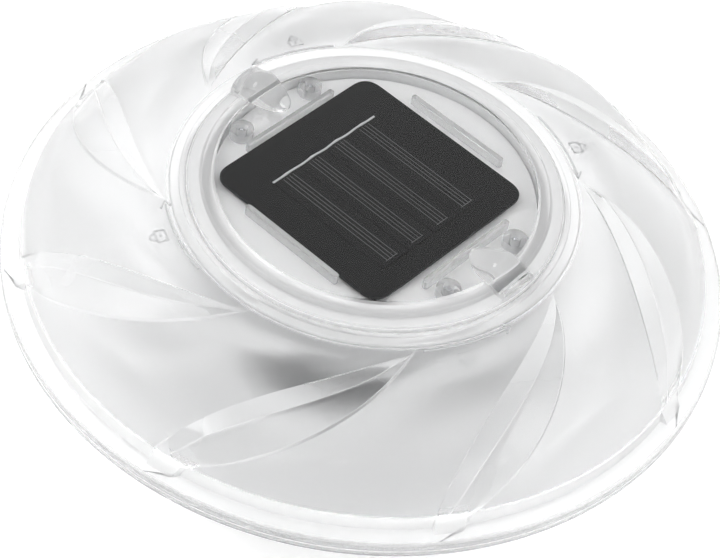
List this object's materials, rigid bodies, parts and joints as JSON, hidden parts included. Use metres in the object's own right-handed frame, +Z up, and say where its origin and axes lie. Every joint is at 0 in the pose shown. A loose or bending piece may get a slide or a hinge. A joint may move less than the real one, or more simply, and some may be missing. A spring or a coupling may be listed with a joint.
{
  "type": "floating solar pool light",
  "caption": "Round float with raised swirl blades and a twist-lock light module: solar panel under a clear cap, battery bay with door, circuit board and push switch.",
  "frame": {"origin": "centre of the flat foot under the lower shell", "axes": "+Z up through the cap; the cap's two finger grips lie on X; the battery lies along X, below the middle on the -Y side"},
  "size_m": [0.18, 0.18, 0.066],
  "materials": {
    "frosted_shell": "frosted clear, moulded",
    "clear_shell": "clear, moulded",
    "clear_cap": "clear, polished",
    "seal": "soft, satin",
    "housing": "frosted, satin",
    "door": "frosted, satin",
    "panel": "black, resin coated",
    "silicon": "dark cell under resin",
    "ribbon": "tinned ribbon",
    "screw_steel": "zinc plated",
    "nickel": "nickel plated spring steel",
    "circuit_board": "green solder mask",
    "led_lens": "clear resin",
    "black_plastic": "moulded, satin",
    "white_plastic": "moulded, satin",
    "battery_sleeve": "shrink sleeve",
    "copper": "enamelled copper winding",
    "red_wire": "PVC insulation",
    "black_wire": "PVC insulation"
  },
  "bodies": {
    "float": {"upper_shell": "frosted_shell", "lower_shell": "clear_shell"},
    "seal": {"cap_seal": "seal"},
    "light_module": {"top_cap": "clear_cap", "module_housing": "housing", "housing_screw_1": "screw_steel", "housing_screw_2": "screw_steel", "housing_screw_3": "screw_steel", "housing_screw_4": "screw_steel", "panel_board": "panel", "solar_cell_1": "silicon", "solar_cell_2": "silicon", "solar_cell_3": "silicon", "solar_cell_4": "silicon", "cell_ribbon": "ribbon", "main_board": "circuit_board", "board_screw_1": "screw_steel", "board_screw_2": "screw_steel", "led_1": "led_lens", "led_2": "led_lens", "led_3": "led_lens", "led_4": "led_lens", "driver_chip": "black_plastic", "inductor": "copper", "power_switch": "black_plastic", "button_spring": "nickel", "battery_cell": "battery_sleeve", "negative_contact": "nickel", "contact_spring": "nickel", "positive_contact": "nickel", "panel_lead_red": "red_wire", "panel_lead_black": "black_wire", "battery_lead_red": "red_wire", "battery_lead_black": "black_wire"},
    "door": {"battery_door": "door", "door_screw": "screw_steel"},
    "button": {"power_button": "white_plastic", "switch_plunger": "white_plastic"}
  },
  "joints": [
    {"name": "cap_twist", "type": "hinge", "parent": "float", "child": "seal", "pos_m": [0, 0, 0.048], "axis": [0, 0, 1], "range_deg": [-32, 0]},
    {"name": "cap_lift", "type": "slide", "parent": "seal", "child": "light_module", "axis": [0, 0, 1], "range_m": [0, 0.06]},
    {"name": "battery_door_off", "type": "slide", "parent": "light_module", "child": "door", "axis": [0, 0, -1], "range_m": [0, 0.01]},
    {"name": "button_press", "type": "slide", "parent": "light_module", "child": "button", "axis": [0, 0, 1], "range_m": [0, 0.001], "stiffness_N_per_m": 400, "deforming": ["button_spring"]}
  ]
}
